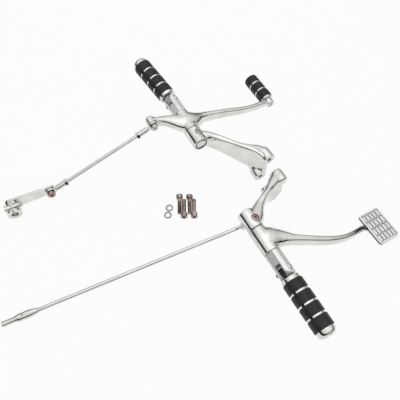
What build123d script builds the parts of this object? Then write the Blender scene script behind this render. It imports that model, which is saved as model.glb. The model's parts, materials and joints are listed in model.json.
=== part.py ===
from build123d import *

import os
from math import atan, atan2, cos, degrees, radians, sin

# Motorcycle forward controls: a shift side, a brake side and their loose mounting hardware.
# The two sides lie on the floor as a pair, each with its pivot shaft level and across the motorcycle.
# +X is forward on the motorcycle, +Y is its left, +Z is up, all in millimetres.
# Each side is modelled about its own pivot: the origin is on the pivot axis, at the hub's inboard end.

# Where each side's pivot stands on the floor, before the set is centred on the origin
SHIFT_X, SHIFT_Y = 43.5, 72.3
BRAKE_X, BRAKE_Y = 37.5, -94.5
PIVOT_HEIGHT = 66.0

# Fits and gaps
RUN_FIT = 0.05          # radial clearance of a shaft or pin that turns
FACE_GAP = 0.3          # between faces of pieces that move past each other

# Pivot shaft, hubs and bushes
SHAFT_D = 18.0
HUB_D = 32.0
BRACKET_HUB_LENGTH = 37.0
LEVER_HUB_LENGTH = 48.0
BUSH_WALL = 2.0
BUSH_FLANGE = 1.5
BUSH_LENGTH = 16.0
BUSH_FLANGE_D = 26.0
SHAFT_START = 1.5
SET_SCREW_BITE = 3.0           # how far the clamping screw reaches into the shaft
HUB_EDGE = 2.0

# Brackets
BOSS_D = 25.0
BOSS_LENGTH = 28.0
BOSS_EDGE = 6.0
BOLT_D = 8.0
BOLT_DEPTH = 22.0
UPPER_BOLT = (97.0, -7.0)      # forward and up from the pivot
LOWER_BOLT = (83.5, -53.5)
SHIFT_BOSS_REACH = 89.5        # hub end to the shift bosses' faces
BRAKE_BOSS_REACH = 50.0
WEB_THICKNESS = 10.0

# Cap screws
SCREW_D = 8.0
SCREW_HEAD_D = 13.0
SCREW_HEAD = 8.0
SCREW_LENGTH = 32.0
HEX_RATIO = 0.46                # a socket's width across flats, of the head's diameter
SET_SCREW_LEAN = 68.0          # degrees up from forward
SET_SCREW_STATION = 21.0
SET_SCREW_SEAT = 10.5          # radius of the flat under the screw's head
SET_SCREW_HEAD = 5.5
HUB_RECESS = 1.5
WASHER_D, WASHER_THICKNESS = 15.0, 1.8

# Clevis, fold pin and peg tongue
CLEVIS_D = 26.0
CLEVIS_FLAT = 25.0
CLEVIS_ROUND_D = 29.0
PIN_D = 8.0
PIN_STATION = 121.5            # pivot hub end to the fold pin
PIN_TILT = 45.0                # degrees that the pin leans up from forward
TONGUE = 9.0
WAVE_WASHER = 1.0
TONGUE_RADIUS = 11.5

# Footpeg
COLLAR_D = 33.0
COLLAR_START = 14.3            # fold pin to the collar
COLLAR_LENGTH = 8.0
CORE_D = 23.0
BAND_D = 33.6
BAND = 4.6
RUBBER_D = 36.0
RING = 17.4
RING_EDGE = 1.6
LUG_WIDTH = 5.0
PEG_RINGS = 4
CAP_D = 33.0
CAP_LENGTH = 13.0
CAP_RECESS_D = 20.0
CAP_RECESS = 6.0
CAP_EDGE = 4.0
CAP_SCREW_HEAD = 5.0
CAP_SCREW_DEPTH = 16.0
PIN_HEAD, PIN_HEAD_D = 2.6, 12.0
CLIP, CLIP_D, CLIP_BORE = 1.2, 12.4, 6.4
LEFT_PEG_FOLD = 12.0           # the left peg lies a little folded

# Shift lever
TOE_REACH, TOE_DROP, TOE_SIDE = 203.0, 51.0, 62.0
TOE_BOSS_D = 19.0
TOE_BOSS = 13.0
TOE_BOLT_D = 8.0
TOE_COLLAR_D = 26.0
TOE_COLLAR = 6.0
TOE_CORE_D = 17.0
TOE_BAND_D = 28.0
TOE_BAND = 4.0
TOE_RUBBER_D = 30.0
TOE_RING = 18.4
TOE_RINGS = 3
TOE_HEAD_D, TOE_HEAD = 13.6, 5.0
TOE_BOLT_DEPTH = 22.0
TOE_DOME = 3.0
LINK_BACK, LINK_UP, LINK_SIDE = 64.0, 14.0, 85.2
LINK_BOSS_D, LINK_BOSS = 19.0, 13.0

# Linkage
ROD_D = 7.2
BALL_D = 14.0
BALL_FIT = 0.1
EYE_D = 21.0
EYE_WIDTH = 5.0
BALL_WIDTH = 8.0
SHANK_D = 11.0
EYE_TO_SHANK_END = 33.0
ROD_THREAD = 16.0
JAM_NUT = 5.0
JAM_ACROSS = 13.0
JOINT_HEAD_D = 15.0
JOINT_HEAD = 4.5
JOINT_SIDE = 75.2                    # station of both linkage joints
REAR_JOINT_BACK, REAR_JOINT_DROP = 290.0, 52.0
NUT_HEIGHT = 4.0
NUT_ACROSS = 13.0
ARM_LENGTH = 74.0
ARM_RISE = -0.5                      # the clamp's bore lies a little under the rod's bolt
ARM_TURN = 4.0                       # degrees that the arm points outboard
ARM_THICKNESS = 5.0
ARM_TIP_D = 20.0
PINCH_D, PINCH_LENGTH = 12.0, 26.0
PINCH_HEIGHT, PINCH_INSET = 10.5, 10.5
PINCH_BOLT_D = 6.0
PINCH_HEAD_D, PINCH_HEAD = 10.0, 6.0
SLIT = 2.4
CLAMP_D = 27.0
CLAMP_LENGTH = 28.0
CLAMP_BORE = 12.7

# Brake pedal and rod
PAD_X, PAD_Y, PAD_TOP = 221.5, -119.7, -51.5
PAD_LONG, PAD_SHORT, PAD_THICKNESS = 65.0, 43.0, 6.5
PAD_RADIUS = 5.0
PAD_SLOTS, PAD_ROWS = 5, 4
PAD_SLOT, PAD_SLOT_DEPTH = 4.6, 2.5
PAD_SLOT_PITCH, PAD_ROW_PITCH = 7.4, 14.6
PAD_BAR = 3.4
PAD_FOOT, FOOT_WIDTH = 8.0, 17.0
PAD_SCREW_D, PAD_HEAD_D, PAD_HEAD = 5.0, 9.0, 3.0
PAD_SCREW_SPACING = 20.0
LOWER_ARM_FORWARD, LOWER_ARM_DROP = 22.0, 36.0
BRAKE_ROD_SIDE = -8.0
BRAKE_BOLT_DEPTH = 20.0
BRAKE_ROD_D = 7.2
BRAKE_SHANK_END, BRAKE_ROD_THREAD = 24.0, 8.0
BRAKE_ROD_END = (-442.0, 41.2, -58.8)  # the sleeve's far end, from the brake pivot
SLEEVE_LENGTH = 60.0
SLEEVE_NECK = 20.0
SLEEVE_D = 14.4
SLEEVE_PIN_D, SLEEVE_PIN_INSET = 3.0, 24.0
SLEEVE_THREAD, SLEEVE_THREAD_D = 18.0, 8.0

# Loose mounting hardware: how far each head's underside lies along and across the row, and its heading
ROW_HEADING = 62.5             # degrees from forward
LOOSE_SCREWS = [(0.5, -39.5, 1), (-32.9, -31.0, -1), (-0.6, -20.2, 1), (-33.1, -11.8, -1)]
LOOSE_WASHERS = [(-60.1, 12.6), (-69.8, 0.1)]

OUTBOARD_LEFT, OUTBOARD_RIGHT = 1, -1
LEVER_START = BRACKET_HUB_LENGTH + FACE_GAP
LEVER_END = LEVER_START + LEVER_HUB_LENGTH
CLEVIS_START = LEVER_END + FACE_GAP
BUSH_D = SHAFT_D + 2 * (RUN_FIT + BUSH_WALL)
PEG_LENGTH = PEG_RINGS * RING + (PEG_RINGS - 1) * BAND
RUBBER_START = COLLAR_START + COLLAR_LENGTH
SLOT_WIDTH = TONGUE + WAVE_WASHER + 2 * FACE_GAP

pieces = {}


def keep(part, name, location=Location()):
    """Put a finished piece in its place and keep it under its name."""
    piece = part.moved(location)
    piece.label = name
    pieces[name] = piece


def crosswise(y):
    """A plane across the pivot shaft at a station y, with X forward and its own y up."""
    return Plane.XZ.offset(-y)


def bar(stations, upright=False):
    """A cast bar through rounded sections: each has a point, a width, a height and a corner radius.

    The sections stand upright across the bar's way over the floor. An upright bar's sections lie level.
    """
    route = Spline(*[point for point, _, _, _ in stations])
    with BuildPart() as solid:
        for point, width, height, corner in stations:
            along = route.tangent_at(route.param_at_point(point))
            heading = (0, 0, -1) if upright else (along.X, along.Y, 0)
            sideways = (0, 1, 0) if upright else (-along.Y, along.X, 0)
            with BuildSketch(Plane(origin=point, x_dir=sideways, z_dir=heading)):
                RectangleRounded(width, height, corner)
        loft()
    return solid.part


def cap_screw(length, head_d=SCREW_HEAD_D, head=SCREW_HEAD, shank_d=SCREW_D):
    """A socket cap screw along +Z: the head's underside is at the origin and the shank points down."""
    with BuildPart() as screw:
        with BuildSketch(Plane.XZ):
            with BuildLine():
                Polyline(
                    (0, -length), (shank_d / 2 - 0.8, -length), (shank_d / 2, -length + 0.8),
                    (shank_d / 2, 0), (head_d / 2, 0), (head_d / 2, head - 0.8),
                    (head_d / 2 - 0.8, head), (0, head), (0, -length),
                )
            make_face()
        revolve(axis=Axis.Z)
        with BuildSketch(Plane.XY.offset(head)):
            RegularPolygon(HEX_RATIO * head_d / 2, 6, major_radius=False)
        extrude(amount=-0.6 * head, mode=Mode.SUBTRACT)
    return screw.part


def bracket(out, reach, stations):
    """A cast bracket: the hub goes outboard from y = 0, and the web carries two bosses with blind threads."""
    web = bar(stations)
    with BuildPart() as bosses:
        with BuildSketch(crosswise(reach)):
            with Locations(UPPER_BOLT, LOWER_BOLT):
                Circle(BOSS_D / 2)
        extrude(amount=-out * BOSS_LENGTH)
        rims = bosses.edges().group_by(Axis.Y)
        fillet(rims[-1] if out > 0 else rims[0], BOSS_EDGE)
    with BuildPart() as casting:
        with BuildSketch(crosswise(0)):
            Circle(HUB_D / 2)
        extrude(amount=-out * BRACKET_HUB_LENGTH)
        fillet(casting.edges().filter_by(GeomType.CIRCLE), HUB_EDGE)
        add(web)
        add(bosses.part)
        with BuildSketch(crosswise(reach)):
            with Locations(UPPER_BOLT, LOWER_BOLT):
                Circle(BOLT_D / 2)
        extrude(amount=-out * BOLT_DEPTH, mode=Mode.SUBTRACT)
        with BuildSketch(crosswise(0)):
            Circle(SHAFT_D / 2)
        extrude(amount=-out * BRACKET_HUB_LENGTH, mode=Mode.SUBTRACT)
        with BuildSketch(crosswise(0)):
            Circle(HUB_D / 2 - 3.5)
        extrude(amount=-out * HUB_RECESS, mode=Mode.SUBTRACT)
        with BuildSketch(set_screw_seat(out)):
            Circle(SCREW_HEAD_D / 2 + FACE_GAP)
        extrude(amount=HUB_D, mode=Mode.SUBTRACT)
        with BuildSketch(set_screw_seat(out)):
            Circle(SCREW_D / 2)
        extrude(amount=-(SET_SCREW_SEAT - SHAFT_D / 2 + 1), mode=Mode.SUBTRACT)
    return casting.part


def set_screw_seat(out):
    """The flat under the clamping screw's head, across a radius of the hub."""
    lean = radians(SET_SCREW_LEAN)
    radial = (cos(lean), 0, sin(lean))
    seat = Vector(*radial) * SET_SCREW_SEAT + Vector(0, out * SET_SCREW_STATION, 0)
    return Plane(origin=seat, x_dir=(0, 1, 0), z_dir=radial)


def peg_support(out):
    """A forging: the shaft lies in the bracket and turns the lever, and the clevis at its end holds the peg."""
    side = Plane(origin=(0, out * PIN_STATION, 0), x_dir=(0, out, 0), z_dir=pin_direction())
    slot_bottom = TONGUE_RADIUS + 2 * FACE_GAP
    body_back = PIN_STATION - CLEVIS_START
    with BuildPart() as forging:
        with BuildSketch(side.offset(-CLEVIS_D / 2)):
            with BuildLine():
                Line((-body_back, -CLEVIS_FLAT / 2), (0, -CLEVIS_FLAT / 2))
                ThreePointArc((0, -CLEVIS_FLAT / 2), (CLEVIS_FLAT / 2, 0), (0, CLEVIS_FLAT / 2))
                Line((0, CLEVIS_FLAT / 2), (-body_back, CLEVIS_FLAT / 2))
                Line((-body_back, CLEVIS_FLAT / 2), (-body_back, -CLEVIS_FLAT / 2))
            make_face()
        extrude(amount=CLEVIS_D)
        with BuildSketch(crosswise(out * CLEVIS_START)):
            Circle(CLEVIS_ROUND_D / 2)
        extrude(amount=-out * 2 * PIN_STATION, mode=Mode.INTERSECT)
        with BuildSketch(side.offset(-SLOT_WIDTH / 2)):
            with Locations((PIN_STATION / 2 - slot_bottom, 0)):
                Rectangle(PIN_STATION, 2 * CLEVIS_D)
        extrude(amount=SLOT_WIDTH, mode=Mode.SUBTRACT)
        with BuildSketch(side.offset(-CLEVIS_D)):
            Circle(PIN_D / 2)
        extrude(amount=2 * CLEVIS_D, mode=Mode.SUBTRACT)
        with BuildSketch(crosswise(out * SHAFT_START)):
            Circle(SHAFT_D / 2)
        extrude(amount=-out * (CLEVIS_START - SHAFT_START))
        with BuildSketch(set_screw_seat(out)):
            Circle(SCREW_D / 2)
        extrude(amount=-(SET_SCREW_SEAT - SHAFT_D / 2 + SET_SCREW_BITE), mode=Mode.SUBTRACT)
    return forging.part


def pin_direction():
    """The fold pin leans up and forward, so a peg folds up and back."""
    tilt = radians(PIN_TILT)
    return (cos(tilt), 0, sin(tilt))


def peg_place(out, side_origin, fold=0.0):
    """Where a peg lies: +Z is outboard along the peg and +X is along the fold pin."""
    pin = Location(Plane(origin=(0, out * PIN_STATION, 0), x_dir=pin_direction(), z_dir=(0, out, 0)))
    return side_origin * pin * Location((0, 0, 0), (out * fold, 0, 0))


def bush(bore_d, outer_d, length, flange_d, flange):
    """A flanged plain bush along +Z: the flange starts at the origin."""
    with BuildPart() as sleeve:
        with BuildSketch(Plane.XY):
            Circle(flange_d / 2)
        extrude(amount=flange)
        with BuildSketch(Plane.XY.offset(flange)):
            Circle(outer_d / 2)
        extrude(amount=length - flange)
        with BuildSketch(Plane.XY):
            Circle(bore_d / 2)
        extrude(amount=length, mode=Mode.SUBTRACT)
    return sleeve.part


def lever_bores(out, start, end):
    """What is bored out of a lever's hub between two stations: the way for the shaft and both bush seats."""
    with BuildPart() as bores:
        with BuildSketch(crosswise(out * start)):
            Circle(SHAFT_D / 2 + 1)
        extrude(amount=-out * (end - start))
        for mouth, inward in ((start, 1), (end, -1)):
            with BuildSketch(crosswise(out * mouth)):
                Circle(BUSH_D / 2)
            extrude(amount=-out * inward * BUSH_LENGTH)
            with BuildSketch(crosswise(out * mouth)):
                Circle(BUSH_FLANGE_D / 2)
            extrude(amount=-out * inward * BUSH_FLANGE)
    return bores.part


def keep_bushes(out, names, place):
    """Both flanged bushes of a lever's hub, each pushed in from its own end."""
    for name, station, heading in ((names[0], LEVER_START, out), (names[1], LEVER_END, -out)):
        part = bush(SHAFT_D + 2 * RUN_FIT, BUSH_D, BUSH_LENGTH, BUSH_FLANGE_D, BUSH_FLANGE)
        keep(part, name, place * Location(Plane(origin=(0, out * station, 0), x_dir=(1, 0, 0), z_dir=(0, heading, 0))))


def footpeg_core():
    """The chrome core: a tongue for the fold pin, a collar, and a stem with three notched bands."""
    tongue_face = SLOT_WIDTH / 2 - FACE_GAP
    with BuildPart() as core:
        with BuildSketch(Plane.YZ.offset(tongue_face - TONGUE)):
            Circle(TONGUE_RADIUS)
            with Locations((0, (COLLAR_START + 1) / 2)):
                Rectangle(2 * TONGUE_RADIUS, COLLAR_START + 1)
        extrude(amount=TONGUE)
        with BuildSketch(Plane.XY.offset(COLLAR_START)):
            Circle(COLLAR_D / 2)
        extrude(amount=COLLAR_LENGTH)
        chamfer(core.edges().filter_by(GeomType.CIRCLE).filter_by(lambda e: e.radius > CORE_D / 2), 1.0)
        with BuildSketch(Plane.XY.offset(RUBBER_START)):
            Circle(CORE_D / 2)
        extrude(amount=PEG_LENGTH)
        for gap in range(1, PEG_RINGS):
            with BuildSketch(Plane.XY.offset(RUBBER_START + gap * RING + (gap - 1) * BAND)):
                Circle(BAND_D / 2)
                for side in (1, -1):
                    with Locations((0, side * (CORE_D + BAND_D) / 4)):
                        Rectangle(LUG_WIDTH, (BAND_D - CORE_D) / 2 + 1, mode=Mode.SUBTRACT)
                Circle(CORE_D / 2)
            extrude(amount=BAND)
        with BuildSketch(Plane.YZ):
            Circle(PIN_D / 2 + RUN_FIT)
        extrude(amount=SLOT_WIDTH, both=True, mode=Mode.SUBTRACT)
        with BuildSketch(Plane.XY.offset(RUBBER_START + PEG_LENGTH)):
            Circle(SCREW_D / 2)
        extrude(amount=-CAP_SCREW_DEPTH, mode=Mode.SUBTRACT)
    return core.part


def footpeg_ring(number):
    """A rubber ring on the core. Its two lugs fill the notches of the next band, so that it can't turn."""
    start = RUBBER_START + number * (RING + BAND)
    with BuildPart() as ring:
        with BuildSketch(Plane.XY.offset(start)):
            Circle(RUBBER_D / 2)
        extrude(amount=RING)
        chamfer(ring.edges().filter_by(GeomType.CIRCLE), RING_EDGE)
        with BuildSketch(Plane.XY.offset(start)):
            Circle(CORE_D / 2)
        extrude(amount=RING, mode=Mode.SUBTRACT)
        if number < PEG_RINGS - 1:
            lug_middle = (CORE_D + BAND_D) / 4 - 0.1
            with BuildSketch(Plane.XY.offset(start + RING)):
                for side in (1, -1):
                    with Locations((0, side * lug_middle)):
                        Rectangle(LUG_WIDTH, (BAND_D - CORE_D) / 2 - 1.4)
            extrude(amount=BAND)
    return ring.part


def footpeg_cap():
    """The turned end cap, with its screw sunk in a round recess."""
    bottom = RUBBER_START + PEG_LENGTH
    with BuildPart() as cap:
        with BuildSketch(Plane.XY.offset(bottom)):
            Circle(CAP_D / 2)
        extrude(amount=CAP_LENGTH)
        fillet(cap.edges().filter_by(GeomType.CIRCLE).sort_by(Axis.Z)[-1], CAP_EDGE)
        with BuildSketch(Plane.XY.offset(bottom + CAP_LENGTH)):
            Circle(CAP_RECESS_D / 2)
        extrude(amount=-CAP_RECESS, mode=Mode.SUBTRACT)
        with BuildSketch(Plane.XY.offset(bottom)):
            Circle(SCREW_D / 2)
        extrude(amount=CAP_LENGTH, mode=Mode.SUBTRACT)
    return cap.part


def fold_pin():
    """The headed pin along +X through both prongs, with a groove for its clip."""
    prong = CLEVIS_D / 2
    end = prong + CLIP + 3.0
    with BuildPart() as pin:
        with BuildSketch(Plane.XY):
            with BuildLine():
                Polyline(
                    (prong + PIN_HEAD, 0), (-end, 0), (-end, PIN_D / 2), (-prong - CLIP, PIN_D / 2),
                    (-prong - CLIP, CLIP_BORE / 2), (-prong, CLIP_BORE / 2), (-prong, PIN_D / 2),
                    (prong, PIN_D / 2), (prong, PIN_HEAD_D / 2), (prong + 0.4 * PIN_HEAD, 0.46 * PIN_HEAD_D),
                    (prong + 0.8 * PIN_HEAD, 0.32 * PIN_HEAD_D), (prong + PIN_HEAD, 0.15 * PIN_HEAD_D),
                    (prong + PIN_HEAD, 0),
                )
            make_face()
        revolve(axis=Axis.X)
    return pin.part


def pin_clip():
    """The open spring clip in the pin's groove."""
    with BuildPart() as clip:
        with BuildSketch(Plane.YZ.offset(-CLEVIS_D / 2)):
            Circle(CLIP_D / 2)
            Circle(CLIP_BORE / 2, mode=Mode.SUBTRACT)
            with Locations((0, -CLIP_D / 4)):
                Rectangle(CLIP_BORE * 0.7, CLIP_D / 2, mode=Mode.SUBTRACT)
        extrude(amount=-CLIP)
    return clip.part


def wave_washer():
    """The washer between the tongue and a prong, which keeps the peg from flopping."""
    with BuildPart() as washer:
        with BuildSketch(Plane.YZ.offset(-SLOT_WIDTH / 2)):
            Circle(PIN_D)
            Circle(PIN_D / 2, mode=Mode.SUBTRACT)
        extrude(amount=WAVE_WASHER)
    return washer.part


def keep_footpeg(out, side, place, fold=0.0):
    """All the pieces of one folding footpeg."""
    peg = peg_place(out, place, fold)
    clevis = peg_place(out, place)
    keep(footpeg_core(), side + "_peg_core", peg)
    for number in range(PEG_RINGS):
        keep(footpeg_ring(number), f"{side}_peg_ring_{number + 1}", peg)
    keep(footpeg_cap(), side + "_peg_cap", peg)
    cap_floor = RUBBER_START + PEG_LENGTH + CAP_LENGTH - CAP_RECESS
    cap_screw_length = CAP_LENGTH - CAP_RECESS + CAP_SCREW_DEPTH
    keep(cap_screw(cap_screw_length, head=CAP_SCREW_HEAD), side + "_peg_cap_screw",
         peg * Location((0, 0, cap_floor)))
    keep(fold_pin(), side + "_peg_pin", clevis)
    keep(pin_clip(), side + "_peg_clip", clevis)
    keep(wave_washer(), side + "_peg_wave_washer", clevis)


def keep_side_frame(out, side, names, place, reach, stations):
    """The pieces of one side that stand still: bracket, peg support and the screw that locks them."""
    keep(bracket(out, reach, stations), names[0], place)
    keep(peg_support(out), names[1], place)
    seat = Location(set_screw_seat(out))
    screw_length = SET_SCREW_SEAT - SHAFT_D / 2 + SET_SCREW_BITE
    keep(cap_screw(screw_length, head=SET_SCREW_HEAD), side + "_set_screw", place * seat)


def rod_end(shank_end, thread_d, thread):
    """A rod end with its eye's middle at the origin, its bore along Y and its shank towards +X."""
    with BuildPart() as end:
        with BuildSketch(Plane.XZ.offset(-EYE_WIDTH / 2)):
            Circle(EYE_D / 2)
        extrude(amount=EYE_WIDTH)
        chamfer(end.edges().filter_by(GeomType.CIRCLE), 0.8)
        neck, shank_start = EYE_D / 2, EYE_D / 2 + 5
        with BuildSketch(Plane.YZ.offset(neck - 3)):
            RectangleRounded(EYE_WIDTH, SHANK_D, 1.5)
        extrude(amount=3)
        with BuildSketch(Plane.YZ.offset(neck)):
            RectangleRounded(EYE_WIDTH, SHANK_D, 1.5)
        with BuildSketch(Plane.YZ.offset(shank_start)):
            Circle(SHANK_D / 2)
        loft()
        with BuildSketch(Plane.YZ.offset(shank_start)):
            Circle(SHANK_D / 2)
        extrude(amount=shank_end - shank_start)
        Sphere(BALL_D / 2 + BALL_FIT, mode=Mode.SUBTRACT)
        with BuildSketch(Plane.YZ.offset(shank_end)):
            Circle(thread_d / 2)
        extrude(amount=-thread, mode=Mode.SUBTRACT)
    return end.part


def joint_ball():
    """The bored ball of a rod end, with its bore along Y."""
    with BuildPart() as ball:
        Sphere(BALL_D / 2)
        with BuildSketch(Plane.XZ.offset(-BALL_WIDTH / 2)):
            Circle(BALL_D)
        extrude(amount=BALL_WIDTH, mode=Mode.INTERSECT)
        with BuildSketch(Plane.XZ.offset(-BALL_WIDTH / 2)):
            Circle(SCREW_D / 2)
        extrude(amount=BALL_WIDTH, mode=Mode.SUBTRACT)
    return ball.part


def jam_nut(bore_d):
    """A thin hexagon nut that starts at the origin and goes towards +X."""
    with BuildPart() as nut:
        with BuildSketch(Plane.YZ):
            RegularPolygon(JAM_ACROSS / 2, 6, major_radius=False)
            Circle(bore_d / 2, mode=Mode.SUBTRACT)
        extrude(amount=JAM_NUT)
    return nut.part


def round_rod(start, end, diameter, pin_hole=None):
    """A round rod along +X between two distances, with a hole for a pin at a third."""
    with BuildPart() as rod:
        with BuildSketch(Plane.YZ.offset(start)):
            Circle(diameter / 2)
        extrude(amount=end - start)
        chamfer(rod.edges().filter_by(GeomType.CIRCLE), 0.6)
        if pin_hole:
            with BuildSketch(Plane.XY.offset(-diameter)):
                with Locations((pin_hole, 0)):
                    Circle(SLEEVE_PIN_D / 2)
            extrude(amount=2 * diameter, mode=Mode.SUBTRACT)
    return rod.part


def shift_lever():
    """The cast lever: a hub on the pivot shaft, the toe arm, and the arm that drives the linkage."""
    hub_middle = (LEVER_START + LEVER_END) / 2
    toe_arm = bar([
        ((3, hub_middle + 2, -1), 26, 28, 8),
        ((22, TOE_SIDE + 3.5, -5.5), 19, 25, 6.5),
        ((45, TOE_SIDE + 3.0, -11.5), 13.5, 22, 5),
        ((97, TOE_SIDE - 0.5, -24.5), 10.5, 20, 4.5),
        ((137, TOE_SIDE - 4.0, -34.5), 10, 17, 4.4),
        ((172, TOE_SIDE - 2.0, -43.0), 10, 15, 4.4),
        ((TOE_REACH - 3, TOE_SIDE, -TOE_DROP), 11.5, 14, 4.8),
    ])
    link_arm = bar([
        ((-2, hub_middle + 5, 1), 21, 24, 8),
        ((-20, hub_middle + 13, 5), 15, 23, 6),
        ((-42, LINK_SIDE - 4.7, 9), 13, 20, 5),
        ((-LINK_BACK + 1, LINK_SIDE, LINK_UP), 12.5, 18, 5),
    ])
    boss_face = JOINT_SIDE + BALL_WIDTH / 2
    with BuildPart() as casting:
        with BuildSketch(crosswise(LEVER_START)):
            Circle(HUB_D / 2)
        extrude(amount=-LEVER_HUB_LENGTH)
        chamfer(casting.edges().filter_by(GeomType.CIRCLE), 0.8)
        add(toe_arm)
        add(link_arm)
        with BuildSketch(crosswise(TOE_SIDE - TOE_BOSS / 2)):
            with Locations((TOE_REACH, -TOE_DROP)):
                Circle(TOE_BOSS_D / 2)
        extrude(amount=-TOE_BOSS)
        with BuildSketch(crosswise(boss_face)):
            with Locations((-LINK_BACK, LINK_UP)):
                Circle(LINK_BOSS_D / 2)
        extrude(amount=-LINK_BOSS)
        with BuildSketch(crosswise(boss_face)):
            with Locations((-LINK_BACK, LINK_UP)):
                Circle(EYE_D / 2 + 3.5)
        extrude(amount=BALL_WIDTH + 2 * JOINT_HEAD, mode=Mode.SUBTRACT)
        add(lever_bores(1, LEVER_START, LEVER_END), mode=Mode.SUBTRACT)
        with BuildSketch(crosswise(TOE_SIDE - TOE_BOSS / 2)):
            with Locations((TOE_REACH, -TOE_DROP)):
                Circle(TOE_HEAD_D / 2)
        extrude(amount=-TOE_HEAD, mode=Mode.SUBTRACT)
        with BuildSketch(crosswise(TOE_SIDE - TOE_BOSS / 2)):
            with Locations((TOE_REACH, -TOE_DROP)):
                Circle(TOE_BOLT_D / 2)
        extrude(amount=-TOE_BOSS, mode=Mode.SUBTRACT)
        with BuildSketch(crosswise(boss_face)):
            with Locations((-LINK_BACK, LINK_UP)):
                Circle(SCREW_D / 2)
        extrude(amount=-2 * LINK_BOSS, mode=Mode.SUBTRACT)
    return casting.part


def toe_peg_core():
    """The toe peg's chrome stem along +Z: a collar, two bands and a domed end."""
    length = TOE_RINGS * TOE_RING + (TOE_RINGS - 1) * TOE_BAND
    end = TOE_COLLAR + length
    with BuildPart() as core:
        with BuildSketch(Plane.XZ):
            with BuildLine():
                Polyline(
                    (0, 0), (TOE_COLLAR_D / 2 - 1.5, 0), (TOE_COLLAR_D / 2, 1.5), (TOE_COLLAR_D / 2, TOE_COLLAR),
                    (TOE_CORE_D / 2, TOE_COLLAR), (TOE_CORE_D / 2, end), (TOE_COLLAR_D / 2, end),
                    (TOE_COLLAR_D / 2, end + 1.5), (TOE_CORE_D / 2, end + TOE_DOME), (0, end + TOE_DOME), (0, 0),
                )
            make_face()
        revolve(axis=Axis.Z)
        for gap in range(1, TOE_RINGS):
            with BuildSketch(Plane.XY.offset(TOE_COLLAR + gap * TOE_RING + (gap - 1) * TOE_BAND)):
                Circle(TOE_BAND_D / 2)
            extrude(amount=TOE_BAND)
        with BuildSketch(Plane.XY):
            Circle(TOE_BOLT_D / 2)
        extrude(amount=TOE_BOLT_DEPTH, mode=Mode.SUBTRACT)
    return core.part


def toe_peg_ring(number):
    """One plain rubber ring of the toe peg."""
    start = TOE_COLLAR + number * (TOE_RING + TOE_BAND)
    with BuildPart() as ring:
        with BuildSketch(Plane.XY.offset(start)):
            Circle(TOE_RUBBER_D / 2)
        extrude(amount=TOE_RING)
        chamfer(ring.edges().filter_by(GeomType.CIRCLE), 1.4)
        with BuildSketch(Plane.XY.offset(start)):
            Circle(TOE_CORE_D / 2)
        extrude(amount=TOE_RING, mode=Mode.SUBTRACT)
    return ring.part


def shift_arm():
    """The clamping arm: the linkage bolt's hole is at the origin, along Y, and the clamp is towards -X."""
    outer_face = BALL_WIDTH / 2 + ARM_THICKNESS
    inner_face = outer_face - CLAMP_LENGTH
    clamp = (-ARM_LENGTH, ARM_RISE)
    pinch_start = Plane(
        origin=(-ARM_LENGTH - PINCH_LENGTH / 2, inner_face + PINCH_INSET, ARM_RISE + PINCH_HEIGHT),
        x_dir=(0, 1, 0), z_dir=(1, 0, 0),
    )
    with BuildPart() as arm:
        with BuildSketch(crosswise(outer_face)):
            Circle(ARM_TIP_D / 2)
            with Locations(clamp):
                Circle(CLAMP_D / 2)
            make_hull()
        extrude(amount=ARM_THICKNESS)
        with BuildSketch(crosswise(outer_face)):
            with Locations(clamp):
                Circle(CLAMP_D / 2)
        extrude(amount=CLAMP_LENGTH)
        with BuildSketch(pinch_start):
            Circle(PINCH_D / 2)
            with Locations((0, -PINCH_D / 4)):
                Rectangle(PINCH_D, PINCH_D / 2)
        extrude(amount=PINCH_LENGTH)
        with BuildSketch(crosswise(outer_face)):
            with Locations(clamp):
                Circle(CLAMP_BORE / 2)
        extrude(amount=CLAMP_LENGTH, mode=Mode.SUBTRACT)
        with BuildSketch(Plane.XY.offset(ARM_RISE)):
            with Locations((-ARM_LENGTH, (inner_face + outer_face - ARM_THICKNESS) / 2)):
                Rectangle(SLIT, outer_face - ARM_THICKNESS - inner_face)
        extrude(amount=CLAMP_D, mode=Mode.SUBTRACT)
        with BuildSketch(pinch_start):
            Circle(PINCH_BOLT_D / 2)
        extrude(amount=PINCH_LENGTH, mode=Mode.SUBTRACT)
        with BuildSketch(crosswise(outer_face)):
            Circle(SCREW_D / 2)
        extrude(amount=ARM_THICKNESS, mode=Mode.SUBTRACT)
    return arm.part


def pad_screw_places():
    """Where the two screws under the pad stand, for a sketch in the side's frame."""
    return Locations((PAD_X - PAD_SCREW_SPACING / 2, PAD_Y), (PAD_X + PAD_SCREW_SPACING / 2, PAD_Y))


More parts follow.
